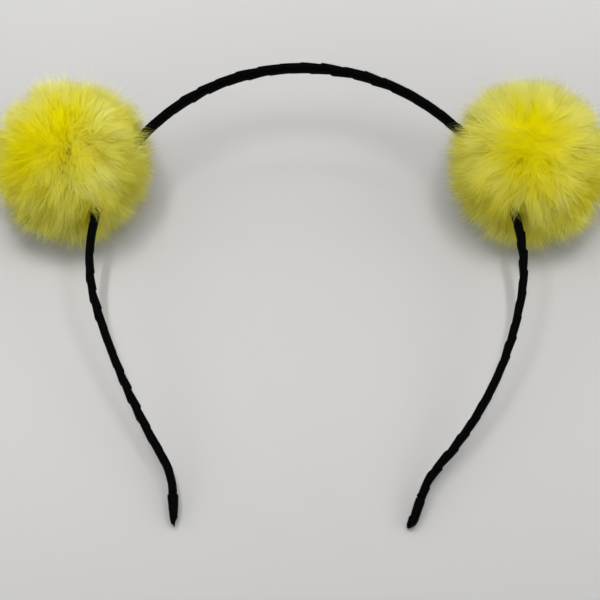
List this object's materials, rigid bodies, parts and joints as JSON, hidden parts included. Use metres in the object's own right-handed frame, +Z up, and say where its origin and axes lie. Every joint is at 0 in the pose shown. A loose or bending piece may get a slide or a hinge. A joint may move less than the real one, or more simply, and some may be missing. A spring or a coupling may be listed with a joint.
{
  "type": "pompom headband",
  "caption": "Slim sprung headband wound in black ribbon, with folded ribbon tips and a round faux-fur pompom threaded on each side",
  "frame": {"origin": "middle of the footprint, on the floor under the headband as it lies on its pompoms and tips", "axes": "+X across the hoop from one pompom to the other, +Y from the tips to the crown, +Z up from the floor"},
  "size_m": [0.1986, 0.1522, 0.0484],
  "materials": {
    "ribbon": "matte",
    "fur": "matte"
  },
  "bodies": {
    "root": {"hoop_band": "ribbon", "tip_wrap_left": "ribbon", "tip_wrap_right": "ribbon", "pompom_left": "fur", "pompom_right": "fur"}
  },
  "joints": []
}
